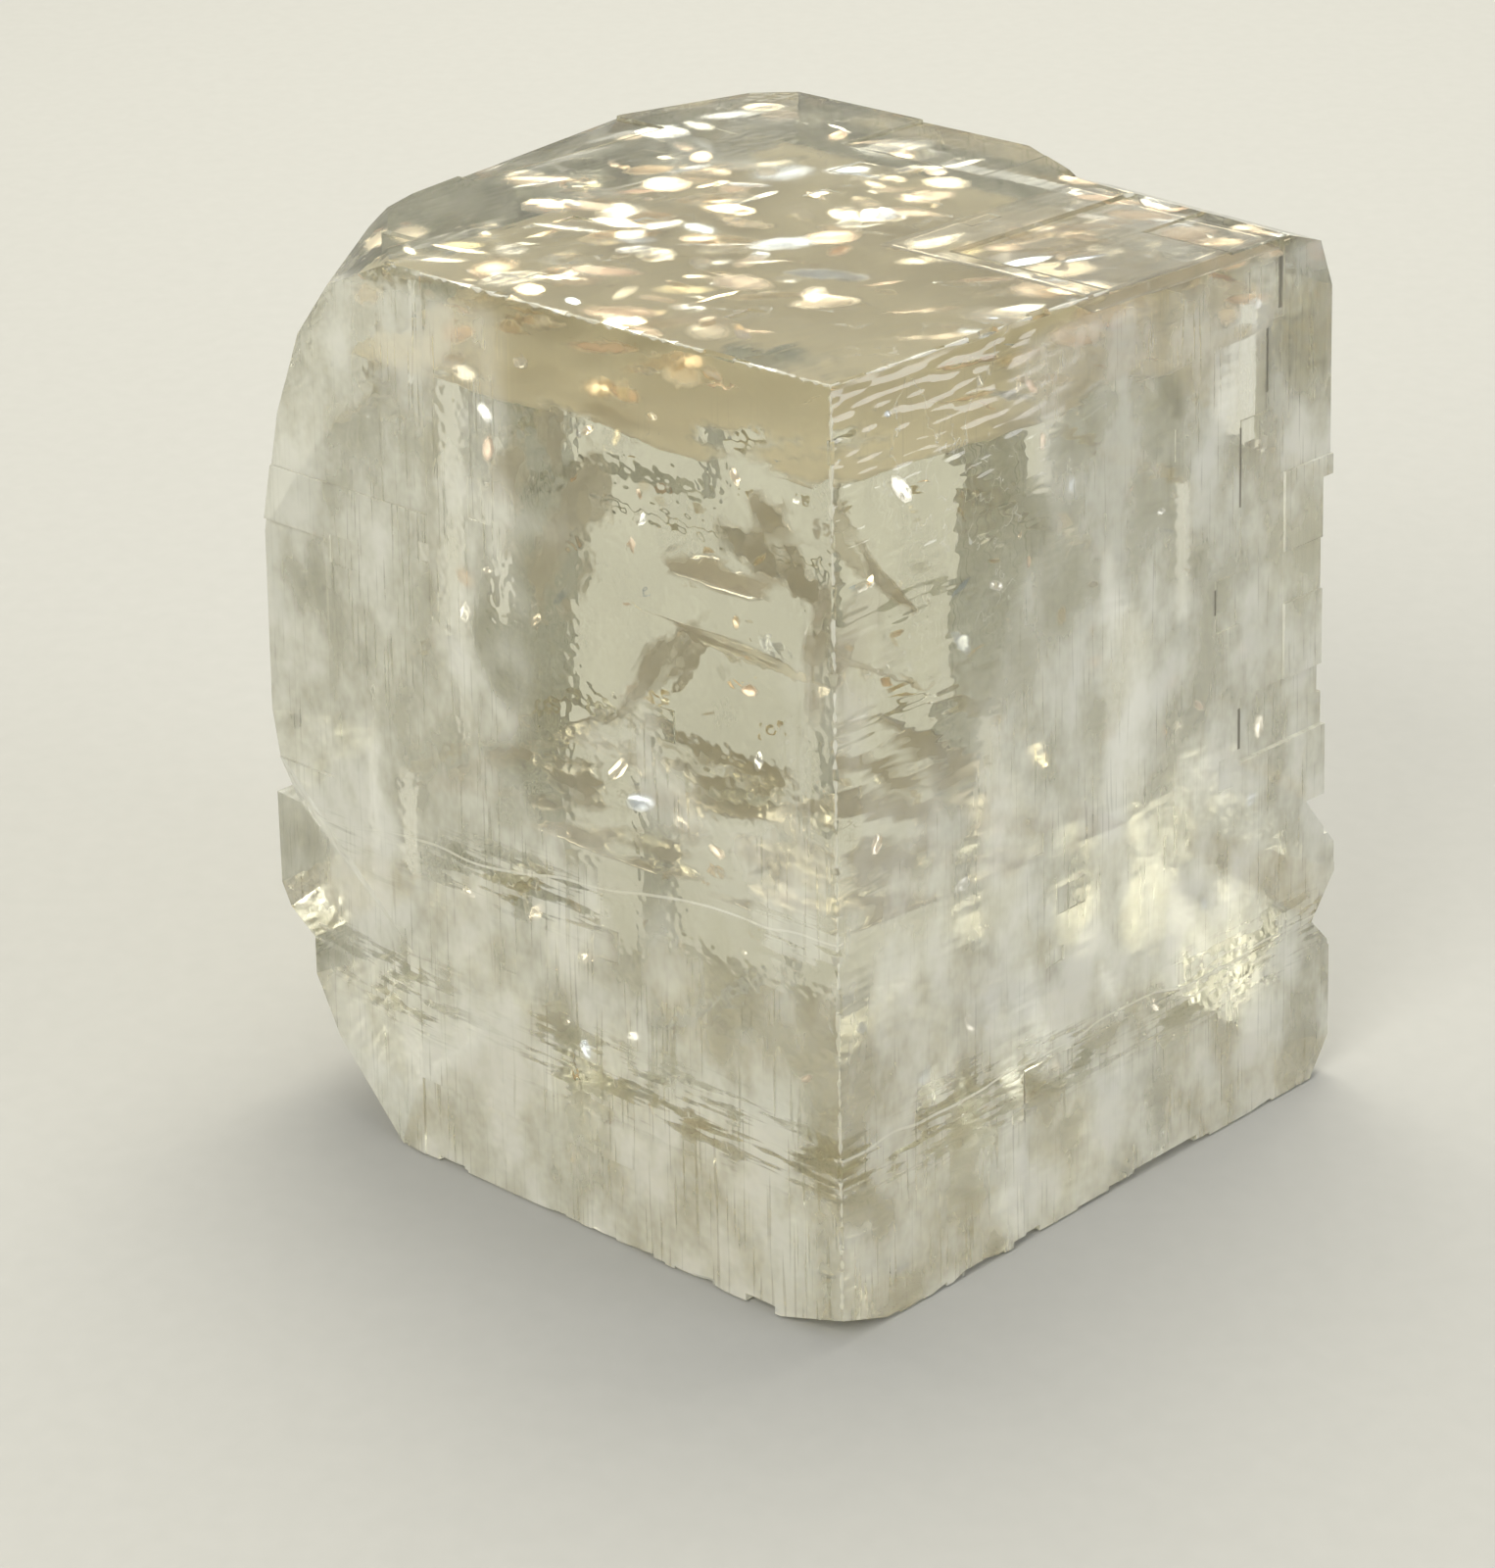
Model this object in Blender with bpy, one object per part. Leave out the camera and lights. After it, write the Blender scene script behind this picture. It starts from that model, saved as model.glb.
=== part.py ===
"""A large Iceland spar specimen: one cleavage block of clear calcite, standing on a cleavage face.

Calcite splits along three directions that meet at 101.9 degrees, so a block is a leaning box, a
rhombohedron. The shape is carved upright, in millimetres along the three edges from the blunt top
front corner: left (back and to the left), right (back and to the right) and down (down the front edge).
At the end the whole carving is leaned over, so that these three directions become the real ones.
"""

import math
import random

import bmesh
import bpy
from mathutils import Matrix, Vector

MM = 0.001

# The whole rhomb, before anything broke off it
FACE_ANGLE = math.radians(101.9)
LEFT_EDGE = 92.5
RIGHT_EDGE = 86.5
FRONT_EDGE = 110.0
WHOLE = (LEFT_EDGE, RIGHT_EDGE, FRONT_EDGE)
MIDDLE = (LEFT_EDGE / 2, RIGHT_EDGE / 2, FRONT_EDGE / 2)
BEYOND = 4.0
FLAT = math.radians(0.05)
SAME = 0.001

# The plate at the right end of the top face, which has lost a thin layer
PLATE_DEPTH = 0.6
PLATE_LEFT = 22.5
PLATE_RIGHT = 44.5

# The small chips that line every edge
CHIP_SEED = 41
PIT_SEED = 12
PIT_MARGIN = 6.0
LEAST_CHIP = 0.15
SLANTED_SHARE = 0.6

CLEAR_SPAR = (0.80, 0.77, 0.66, 1.0)


def edge_directions():
    """Unit vectors along the left, right and front edges, with the top face level."""
    half = FACE_ANGLE / 2
    left = Vector((-math.sin(half), math.cos(half), 0))
    right = Vector((math.sin(half), math.cos(half), 0))
    forward = math.cos(FACE_ANGLE) / math.cos(half)
    down = Vector((0, forward, -math.sqrt(1 - forward**2)))
    return left, right, down


def cell(low, high):
    """A box between two corners. It leans as the crystal does once the carving is done."""
    size = Vector(high) - Vector(low)
    middle = (Vector(high) + Vector(low)) / 2
    made = bmesh.new()
    bmesh.ops.create_cube(made, size=1)
    made.transform(Matrix.Translation(middle) @ Matrix.Diagonal((*size, 1)))
    return made


def split(made, one, two, three, keep=MIDDLE):
    """Splits a convex mesh along the flat crack through three points, and keeps one side."""
    a, b, c = Vector(one), Vector(two), Vector(three)
    normal = (b - a).cross(c - a).normalized()
    if (Vector(keep) - a).dot(normal) > 0:
        normal.negate()
    parts = made.verts[:] + made.edges[:] + made.faces[:]
    bmesh.ops.bisect_plane(
        made, geom=parts, dist=SAME, plane_co=a, plane_no=normal, clear_outer=True
    )
    # A convex piece stays convex when it is split, so its hull closes the cut
    bmesh.ops.remove_doubles(made, verts=made.verts[:], dist=SAME)
    bmesh.ops.delete(made, geom=made.edges[:] + made.faces[:], context="EDGES_FACES")
    bmesh.ops.convex_hull(made, input=made.verts[:])
    loose = [vertex for vertex in made.verts if not vertex.link_faces]
    bmesh.ops.delete(made, geom=loose, context="VERTS")
    bmesh.ops.dissolve_limit(
        made, angle_limit=FLAT, verts=made.verts[:], edges=made.edges[:]
    )


def add_object(name, made, collection):
    """Puts a finished bmesh in the scene as an object."""
    bmesh.ops.recalc_face_normals(made, faces=made.faces[:])
    mesh = bpy.data.meshes.new(name)
    made.to_mesh(mesh)
    made.free()
    found = bpy.data.objects.new(name, mesh)
    collection.objects.link(found)
    return found


def whole_block():
    """The rhomb with the large flat breaks that took off its corners."""
    block = cell((0, 0, 0), WHOLE)
    # The left corner broke away along a rounded fracture, from the top face down to the foot
    split(block, (65, 0, 0), (86.5, 19.5, 0), (77.2, 0, 5.6))
    split(block, (74.5, 0, 3.5), (90, 26, 0), (82, 0, 13.5))
    split(block, (80.5, 0, 11), (86, 0, 25.5), (92.5, 38, 6))
    split(block, (84.6, 0, 21), (88, 0, 38), (92.5, 44, 22))
    split(block, (90.6, 2.6, 62), (90.2, 2.6, 86), (92.5, 47, 72))
    split(block, (90.6, 2.5, 83.5), (77.2, 1.2, 104.5), (92.5, 40, 86))
    split(block, (79, 1.3, 101), (67, 0.4, 111), (90, 40, 106))
    # The two back corners of the top face, and the bottom front corner
    split(block, (92.5, 75, 0), (81.5, 86.5, 0), (92.5, 80, 110))
    split(block, (92.5, 58, 0), (86, 84, 0), (92.5, 66, 14))
    split(block, (9, 0, 110), (0, 8, 110), (0, 0, 107.2))
    split(block, (92.5, 60, 110), (80, 86.5, 110), (92.5, 86.5, 92))
    return block


def front_breaks():
    """Wedges that came off where the photograph shows the outline step in."""
    # The bevel along the back right edge of the top face, steeper at the corner
    bevel = cell((-BEYOND, 70, -BEYOND), (34, RIGHT_EDGE + BEYOND, 12))
    split(bevel, (0, 74.3, 0.2), (34, 77.2, 0), (0, 83.2, 3.2), keep=(10, RIGHT_EDGE, 0))
    yield bevel
    steep = cell((-BEYOND, 78, -BEYOND), (30, RIGHT_EDGE + BEYOND, 12))
    split(steep, (0, 83.2, 3.2), (0, 85.5, 9.4), (24, 82, 1.5), keep=(0, RIGHT_EDGE + 2, 0))
    yield steep
    end = cell((30, 74, -BEYOND), (46, RIGHT_EDGE + BEYOND, 7))
    split(end, (30, 77.2, 0), (44.5, 84.6, 0), (32, 84, 5), keep=(40, RIGHT_EDGE + 2, 0))
    yield end
    # The left outline halfway down, which steps in and out again
    flank = cell((80, -BEYOND, 30), (LEFT_EDGE + BEYOND, 60, 72))
    split(flank, (88, 0, 38), (88, 0, 60), (92.5, 50, 48), keep=(96, 0, 50))
    yield flank
    notch = cell((80, -BEYOND, 58), (LEFT_EDGE + BEYOND, 40, 72.4))
    split(notch, (88, 0, 60), (86, 0, 70.5), (91, 24, 64), keep=(92, 0, 72))
    yield notch
    # The shallow scoop at the foot of the left face, under a slanting bank
    scoop = cell((58, -BEYOND, 60), (LEFT_EDGE + BEYOND, 12, FRONT_EDGE + BEYOND))
    split(scoop, (64, 0, 86), (63.5, 0, 110), (90, 2.8, 86), keep=(90, -2, 100))
    split(scoop, (88, 0, 64), (65, 0, 84), (90, 2.8, 70), keep=(90, -2, 100))
    yield scoop
    # The flake standing off the lower left outline, and the recess above it
    recess = cell((84, -BEYOND, 85.2), (LEFT_EDGE + BEYOND, 30, 100))
    split(recess, (90, 0, 85.8), (84, 0, 89), (92, 20, 86), keep=(90, 0, 95))
    yield recess
    # The two notches in the right outline
    upper = cell((-BEYOND, 80, 73), (30, RIGHT_EDGE + BEYOND, 80.4))
    split(upper, (0, 83.6, 76.5), (0, 86.6, 80.3), (26, 86.6, 77.5), keep=(0, 88, 74))
    yield upper
    lower = cell((-BEYOND, 78, 83.4), (36, RIGHT_EDGE + BEYOND, 89))
    split(lower, (0, 86.6, 83.6), (0, 82.2, 88.9), (30, 86.6, 86), keep=(0, 88, 88))
    yield lower
    under = cell((-BEYOND, 78, 88.9), (36, RIGHT_EDGE + BEYOND, 93.4))
    split(under, (0, 82.2, 88.9), (0, 86.2, 93.2), (30, 86.6, 90), keep=(0, 88, 89))
    yield under
    # The bottom right corner of the right face
    foot = cell((-BEYOND, 79, 104), (12, RIGHT_EDGE + BEYOND, FRONT_EDGE + BEYOND))
    split(foot, (0, 86.3, 105), (0, 82.5, 110), (10, 86.5, 108), keep=(0, 88, 112))
    yield foot


def ledges():
    """Straight cleavage steps, as (low corner, high corner) of the layer that is missing."""
    left, right, down = LEFT_EDGE + BEYOND, RIGHT_EDGE + BEYOND, FRONT_EDGE + BEYOND
    out = -BEYOND
    # On the top face: the plate at its right end, and thin treads behind it
    yield (out, PLATE_RIGHT, out), (PLATE_LEFT, right, PLATE_DEPTH)
    yield (out, 66, out), (12.5, right, PLATE_DEPTH + 0.35)
    yield (40, 70.5, out), (62, right, 0.35)
    yield (83, 30, out), (left, 62, 0.4)
    yield (70, out, out), (left, 9, 0.5)
    # On the right front face, towards its far edge: layers that end at upright lines
    yield (out, 75.8, 1.5), (0.45, right, 30)
    yield (out, 72.8, 10.5), (0.25, right, 24)
    yield (out, 68.0, 21.5), (0.35, 76.4, 57)
    yield (out, 63.5, 40), (0.3, right, 46.5)
    yield (out, 68.1, 56), (0.7, right, 64)
    yield (out, 30, 89), (0.4, right, down)
    yield (out, 49.5, 109.0), (7, 61, down)
    # On the left front face: one layer ends at an upright line near the left, another low down
    yield (77.3, out, 36), (left, 0.5, 66)
    yield (60.2, out, out), (left, 0.3, 29)
    yield (30, out, 100), (64, 0.35, down)
    # Down the right outline
    yield (out, 85.4, out), (left, right, 32.7)
    yield (out, 83.5, 32.5), (left, right, 60)
    yield (out, 84.3, 59.5), (38, right, 78.4)
    yield (out, 86.1, 92), (46, right, down)
    # The hidden back right side
    yield (20, 82.5, 14), (58, right, 32.7)
    yield (34, 81.0, 40), (left, right, 58)
    yield (50, 79.5, 52), (left, right, 86)
    yield (66, 77.0, 30), (left, right, 47)
    yield (58, 84.0, 86), (left, right, down)
    yield (76, 75.5, 78), (left, right, down)
    # The hidden back left side
    yield (90.8, 44, 12), (left, right, 30)
    yield (89.0, 52, 30), (left, right, 78)
    yield (87.0, 60, 40), (left, right, 64)
    yield (90.2, 30, 64), (left, 56, 96)
    yield (87.8, 36, 78), (left, right, down)
    yield (84.0, 20, 98), (left, right, down)
    # Under the foot, only at its back edges
    yield (62, 60, 108.6), (left, right, down)
    yield (80, out, 107.5), (left, 50, down)


def nick(chance, edge, start, length, deep, wide):
    """A chip off one edge. edge holds, for each direction, the side it lies on, or None along it."""
    low, high, slant = [0.0] * 3, [0.0] * 3, []
    bites = [deep, wide]
    for axis, side in enumerate(edge):
        if side is None:
            low[axis], high[axis] = start, start + length
            along = axis
            continue
        bite = bites.pop()
        face = WHOLE[axis] if side else 0.0
        inner = face - bite if side else face + bite
        outer = face + BEYOND if side else face - BEYOND
        low[axis], high[axis] = min(inner, outer), max(inner, outer)
        slant.append((axis, face, inner))
    chip = cell(low, high)
    if chance.random() < SLANTED_SHARE:
        # A slanted chip runs out to nothing at one end
        (first, face_1, inner_1), (second, face_2, inner_2) = slant
        points = [[0.0] * 3 for _ in range(3)]
        ends = (start, start + length)
        near, far = ends if chance.random() < 0.5 else ends[::-1]
        for point, (at, x, y) in zip(
            points,
            ((near, inner_1, face_2), (near, face_1, inner_2), (far, face_1, face_2)),
        ):
            point[along], point[first], point[second] = at, x, y
        keep = [0.0] * 3
        keep[along] = near
        keep[first] = face_1 + (face_1 - inner_1)
        keep[second] = face_2 + (face_2 - inner_2)
        split(chip, *points, keep=keep)
    return chip


def edge_chips():
    """Many small chips along the twelve edges. The front ones are fine, the back ones coarse."""
    chance = random.Random(CHIP_SEED)
    # edge, how many, most length, most depth. False is the side at the top front corner
    rows = (
        ((False, False, None), 24, 4.0, 0.6),
        ((None, False, False), 20, 5.0, 0.5),
        ((False, None, False), 18, 4.0, 0.45),
        ((None, False, True), 26, 7.0, 0.9),
        ((False, None, True), 22, 6.0, 0.8),
        ((False, True, None), 24, 6.0, 0.9),
        ((True, None, False), 22, 7.0, 1.4),
        ((None, True, False), 20, 7.0, 1.0),
        ((True, True, None), 18, 9.0, 2.2),
        ((True, None, True), 16, 9.0, 2.0),
        ((None, True, True), 16, 9.0, 1.8),
    )
    for edge, count, most_length, most_depth in rows:
        reach = WHOLE[edge.index(None)]
        for number in range(count):
            length = most_length * chance.uniform(0.25, 1.0)
            start = (number + chance.random()) / count * (reach - length)
            deep, wide = (
                LEAST_CHIP + most_depth * chance.random() ** 2 for _ in range(2)
            )
            yield nick(chance, edge, start, length, deep, wide * 1.6)


def face_pits():
    """Shallow ramps where a small scale of crystal lifted off a face."""
    chance = random.Random(PIT_SEED)
    # direction the face looks along, whether it is the far side, how many, most size, most depth
    rows = (
        (0, False, 7, 5.0, 0.35),
        (1, False, 8, 6.0, 0.4),
        (2, False, 9, 6.0, 0.35),
        (0, True, 18, 12.0, 2.6),
        (1, True, 18, 12.0, 2.6),
        (2, True, 7, 8.0, 0.6),
    )
    for axis, far_side, count, most_size, most_depth in rows:
        along, across = (other for other in range(3) if other != axis)
        face = WHOLE[axis] if far_side else 0.0
        outward = 1 if far_side else -1
        for _ in range(count):
            low, high = [0.0] * 3, [0.0] * 3
            for other in (along, across):
                size = most_size * chance.uniform(0.35, 1.0)
                low[other] = chance.uniform(PIT_MARGIN, WHOLE[other] - PIT_MARGIN - size)
                high[other] = low[other] + size
            inner = face - outward * most_depth * chance.uniform(0.4, 1.0)
            outer = face + outward * BEYOND
            low[axis], high[axis] = min(inner, outer), max(inner, outer)
            scale = cell(low, high)
            near, far = chance.sample((low[along], high[along]), 2)
            ramp = [[0.0] * 3 for _ in range(3)]
            ends = ((near, low[across], inner), (near, high[across], inner), (far, low[across], face))
            for point, (a, b, c) in zip(ramp, ends):
                point[along], point[across], point[axis] = a, b, c
            keep = [0.0] * 3
            keep[along], keep[across], keep[axis] = near, low[across], outer
            split(scale, *ramp, keep=keep)
            yield scale


def clear_spar():
    """Clear calcite with a faint honey tint."""
    material = bpy.data.materials.new("clear_calcite")
    material.use_nodes = True
    shader = material.node_tree.nodes["Principled BSDF"]
    shader.inputs["Base Color"].default_value = CLEAR_SPAR
    shader.inputs["Metallic"].default_value = 0.0
    shader.inputs["Roughness"].default_value = 0.12
    shader.inputs["IOR"].default_value = 1.658
    return material


def lean_and_stand(block, cutters):
    """Leans the carving into its true angles, then sets its foot at zero height over the origin."""
    lean = Matrix(edge_directions()).transposed().to_4x4() @ Matrix.Scale(MM, 4)
    for found in (block, *cutters.objects):
        found.data.transform(lean)
    corners = [vertex.co for vertex in block.data.vertices]
    low = Vector(min(corner[axis] for corner in corners) for axis in range(3))
    high = Vector(max(corner[axis] for corner in corners) for axis in range(3))
    middle = (low + high) / 2
    for found in (block, *cutters.objects):
        found.data.transform(Matrix.Translation((-middle.x, -middle.y, -low.z)))


def new_collection(name):
    made = bpy.data.collections.new(name)
    bpy.context.scene.collection.children.link(made)
    return made


def main():
    for old in list(bpy.data.objects):
        bpy.data.objects.remove(old)
    specimen = new_collection("calcite_specimen")
    cutters = new_collection("broken_off")

    rough = add_object("calcite_block", whole_block(), specimen)
    layers = (cell(low, high) for low, high in ledges())
    missing = [*front_breaks(), *layers, *edge_chips(), *face_pits()]
    for number, piece in enumerate(missing):
        cutter = add_object(f"missing_{number:03d}", piece, cutters)
        cutter.hide_render = True
        cutter.display_type = "WIRE"
    carving = rough.modifiers.new("broken off", "BOOLEAN")
    carving.operation = "DIFFERENCE"
    carving.operand_type = "COLLECTION"
    carving.collection = cutters
    carving.solver = "EXACT"

    graph = bpy.context.evaluated_depsgraph_get()
    carved = bpy.data.meshes.new_from_object(rough.evaluated_get(graph))
    rough.modifiers.clear()
    rough.data = carved
    carved.name = "calcite_block"
    carved.materials.clear()
    carved.materials.append(clear_spar())
    lean_and_stand(rough, cutters)


main()
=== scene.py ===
# %% [markdown]
# A block of Iceland spar, which is the clear kind of calcite. Calcite splits along three slanting
# directions, and the solid model already has that leaning shape with its steps and chips. This
# lesson dresses it from the outside in. It blunts the edges by a hair, makes the mineral clear in
# some places and milky in others, and fills it with the air films, flakes and veils that make a
# real block glitter. Then it lights the block on a pale table. We load the solid model first and
# keep its size, because nothing that we add may make the block bigger.

# %% Load the solid model
import math
import random

import bmesh
import bpy
from mathutils import Matrix, Vector, noise
from mathutils.bvhtree import BVHTree


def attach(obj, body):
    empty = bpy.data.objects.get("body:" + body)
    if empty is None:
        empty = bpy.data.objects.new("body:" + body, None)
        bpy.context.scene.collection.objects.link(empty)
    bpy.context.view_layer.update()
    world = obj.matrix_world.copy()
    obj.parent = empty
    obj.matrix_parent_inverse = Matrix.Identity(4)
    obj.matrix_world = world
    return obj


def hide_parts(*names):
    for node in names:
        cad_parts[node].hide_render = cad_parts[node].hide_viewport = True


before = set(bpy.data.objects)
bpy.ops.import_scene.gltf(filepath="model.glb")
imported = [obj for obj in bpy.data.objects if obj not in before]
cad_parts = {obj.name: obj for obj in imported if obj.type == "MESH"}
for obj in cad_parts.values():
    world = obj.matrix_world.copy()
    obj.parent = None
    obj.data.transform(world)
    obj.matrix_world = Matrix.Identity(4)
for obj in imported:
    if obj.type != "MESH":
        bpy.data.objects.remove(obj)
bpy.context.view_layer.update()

# %% [markdown]
# Everything inside the crystal follows its three splitting directions, so it helps to count along
# them instead of along X, Y and Z. The corner where the three large front faces meet is the zero
# point. From there we count millimetres to the left, to the right and down along the three edges.
# One matrix leans a straight box into the crystal's shape, and its inverse counts the other way.

# %% The crystal's own axes
MM = 0.001
FACE_ANGLE = math.radians(101.9)  # the blunt angle of every cleavage face of calcite
half = FACE_ANGLE / 2
forward = math.cos(FACE_ANGLE) / math.cos(half)
to_left = Vector((-math.sin(half), math.cos(half), 0))
to_right = Vector((math.sin(half), math.cos(half), 0))
to_foot = Vector((0, forward, -math.sqrt(1 - forward**2)))
lean = Matrix((to_left, to_right, to_foot)).transposed() * MM
unlean = lean.inverted()

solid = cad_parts["calcite_block"]
counted = [unlean @ vertex.co for vertex in solid.data.vertices]
front_corner = lean @ Vector(min(place[axis] for place in counted) for axis in range(3))
crystal = Matrix.Translation(front_corner) @ lean.to_4x4()
print("front top corner", [round(v * 1000, 2) for v in front_corner])


# %% [markdown]
# A material or a Geometry Nodes tree is a set of nodes and links. Building one by hand takes the
# same moves each time: add a node, set its options, fill its inputs. One helper does that for
# every kind of node and gives back the output that the next node needs. Colours are easier to
# pick as the hex codes of a colour picker, but shaders work in linear light, so a second helper
# converts them.

# %% Helpers for nodes and colours
MATH = "ShaderNodeMath"
VECTOR = "ShaderNodeVectorMath"
FADE = "ShaderNodeMapRange"
SOFT = {"interpolation_type": "SMOOTHSTEP"}


def add(tree, kind, *values, output=0, **settings):
    """Adds a node, sets its options, fills its inputs with values or links, and gives one output.

    The values come in the order of the node's inputs, or as one dictionary by name or number.
    """
    node = tree.nodes.new(kind)
    for name, value in settings.items():
        setattr(node, name, value)
    named = values and isinstance(values[0], dict)
    for name, value in (values[0] if named else dict(enumerate(values))).items():
        if isinstance(value, bpy.types.NodeSocket):
            tree.links.new(value, node.inputs[name])
        else:
            node.inputs[name].default_value = value
    return node.outputs[output] if len(node.outputs) else node


def linear(code):
    """A hex colour, as picked on screen, in the linear light that shaders use."""
    parts = (int(code[place : place + 2], 16) / 255 for place in (1, 3, 5))
    bent = (part / 12.92 if part <= 0.04045 else ((part + 0.055) / 1.055) ** 2.4 for part in parts)
    return (*bent, 1.0)


def new_material(name):
    """An empty material and its node tree."""
    material = bpy.data.materials.new(name)
    material.use_nodes = True
    material.node_tree.nodes.clear()
    return material, material.node_tree


# %% [markdown]
# The markings of the mineral follow its splitting directions too. These helpers turn a point of
# the surface into millimetres along the three edges, draw soft noise whose patches have a size in
# millimetres, and draw a band round a middle line. A SMOOTHSTEP fade gives every border a soft
# start and a soft end, as stains and clouds in a mineral have.


# %% Helpers for markings along the crystal
def crystal_axes(tree):
    """Sockets with the millimetres to the left, to the right and down, and all three together."""
    place = add(tree, "ShaderNodeTexCoord", output="Object")
    moved = add(tree, VECTOR, place, front_corner, operation="SUBTRACT")
    counts = [
        add(tree, VECTOR, moved, row, operation="DOT_PRODUCT", output="Value") for row in unlean
    ]
    return (*counts, add(tree, "ShaderNodeCombineXYZ", *counts))


def cloud(tree, place, grain, detail=2.0, rough=0.55, stretch=(1, 1, 1), seed=0.0):
    """Soft noise from 0 to 1 in patches of grain millimetres, drawn out by stretch."""
    scale = tuple(1 / (grain * part) for part in stretch)
    start = (seed, seed * 1.7, seed * 2.3)
    spread = add(tree, VECTOR, place, scale, start, operation="MULTIPLY_ADD")
    return add(
        tree,
        "ShaderNodeTexNoise",
        {"Vector": spread, "Scale": 1.0, "Detail": detail, "Roughness": rough},
    )


def band(tree, value, middle, half_width, fade, strength=1.0):
    """Strength inside half_width of the middle, fading to nothing."""
    apart = add(tree, MATH, value, middle, operation="SUBTRACT")
    off = add(tree, MATH, apart, operation="ABSOLUTE")
    return add(tree, FADE, off, half_width, half_width + fade, strength, 0, **SOFT)


# %% [markdown]
# The body is one piece of mineral. A copy of the solid model is merged, because its triangles
# come loose, and its flat faces are joined again. Real cleavage edges look sharp but are blunt by
# a tenth of a millimetre, which is what catches the light as a thin bright line. The Bevel
# modifier gives that to every edge at once, and only cuts inwards, so the block keeps its size.

# %% The clear body
EDGE_BLUNTING = 0.12 * MM
SHARP_EDGE = math.radians(18)
FLAT = math.radians(0.4)
SAME_POINT = MM / 200

body_mesh = bpy.data.meshes.new("spar_body")
shape = bmesh.new()
shape.from_mesh(solid.data)
bmesh.ops.remove_doubles(shape, verts=shape.verts[:], dist=SAME_POINT)
bmesh.ops.dissolve_limit(shape, angle_limit=FLAT, verts=shape.verts[:], edges=shape.edges[:])
shape.to_mesh(body_mesh)
shape.free()
body = bpy.data.objects.new("spar_body", body_mesh)
bpy.context.scene.collection.objects.link(body)
blunting = body.modifiers.new("blunt edges", "BEVEL")
blunting.width = EDGE_BLUNTING
blunting.segments = 1
blunting.limit_method = "ANGLE"
blunting.angle_limit = SHARP_EDGE
blunting.use_clamp_overlap = True


def bake_modifiers(piece):
    """Turns what the modifiers made into a plain mesh."""
    graph = bpy.context.evaluated_depsgraph_get()
    made = bpy.data.meshes.new_from_object(piece.evaluated_get(graph))
    piece.modifiers.clear()
    piece.data = made
    made.name = piece.name


bake_modifiers(body)
print("body faces", len(body.data.polygons))

# %% [markdown]
# This block is only partly clear. Milky zones low down, at the far left and along the right side
# scatter the light, and clear windows stay near the front edge. Milk is made of bubbles too small
# to model, so it is drawn as a share from 0 to 1: three zones that grow with the distance along
# the axes, shifted by broad noise so that no border is straight, and mottled by finer noise. The
# hidden back faces get less of it, because a real block is seen through from there.

# %% Where the spar is milky
DRIFT_GRAIN = 24
LARGEST_SHIFT = 20
MOTTLE_GRAIN = 9
MOST_MILK = 0.82
LEAST_BEHIND = 0.6

spar, tree = new_material("iceland_spar")
left_mm, right_mm, down_mm, place = crystal_axes(tree)
drift = cloud(tree, place, DRIFT_GRAIN, detail=2, rough=0.6, seed=1.0)
shift = add(tree, FADE, drift, 0.3, 0.7, -LARGEST_SHIFT, LARGEST_SHIFT, **SOFT)
low_mm = add(tree, MATH, down_mm, shift, operation="ADD")
far_left_mm = add(tree, MATH, left_mm, shift, operation="ADD")
far_right_mm = add(tree, MATH, right_mm, shift, operation="SUBTRACT")
low_zone = add(tree, FADE, low_mm, 24, 70, 0, 0.95, **SOFT)
left_zone = add(tree, FADE, far_left_mm, 20, 60, 0, 0.85, **SOFT)
right_zone = add(tree, FADE, far_right_mm, 6, 44, 0, 0.85, **SOFT)
side_zones = add(tree, MATH, left_zone, right_zone, operation="ADD")
zones = add(tree, MATH, low_zone, side_zones, operation="ADD")

mottle = cloud(tree, place, MOTTLE_GRAIN, detail=4, rough=0.58, stretch=(1, 1, 1.5), seed=2.0)
patches = add(tree, FADE, mottle, 0.32, 0.66, 0.55, 1.0, **SOFT)
below_top = add(tree, FADE, down_mm, 0.3, 4, 0.12, 1, **SOFT)
smaller = add(tree, MATH, left_mm, right_mm, operation="MINIMUM")
nearest = add(tree, MATH, smaller, down_mm, operation="MINIMUM")
clearer_behind = add(tree, FADE, nearest, 0.9, 2.5, 1.0, LEAST_BEHIND, **SOFT)
cloudy = add(tree, FADE, zones, 0.0, 1.3, 0.02, MOST_MILK, **SOFT)
for share in (patches, below_top, clearer_behind):
    cloudy = add(tree, MATH, cloudy, share, operation="MULTIPLY")
print("nodes for the milk", len(tree.nodes))

# %% [markdown]
# Two bands of fine parallel streaks run round the block, where splits along the level cleavage
# meet the faces. Between the streaks the mineral is clear again, so the bands look darker, and
# each split itself is a thin bright line. One noise, drawn out nine times along the level
# directions, gives all the streaks. The upper band sinks a little towards the left, so its middle
# follows a slope.

# %% Bands of streaks
STREAK_GRAIN = 1.1
STREAK_LENGTH = 9
UPPER_SLOPE, UPPER_SPLIT = 0.12, 62.7
LOWER_SPLIT = 88.2
BAND_HALF = 1.0
LINE_HALF, LINE_FADE, LINE_MILK = 0.08, 0.25, 0.8
WOBBLE = 0.04

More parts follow.
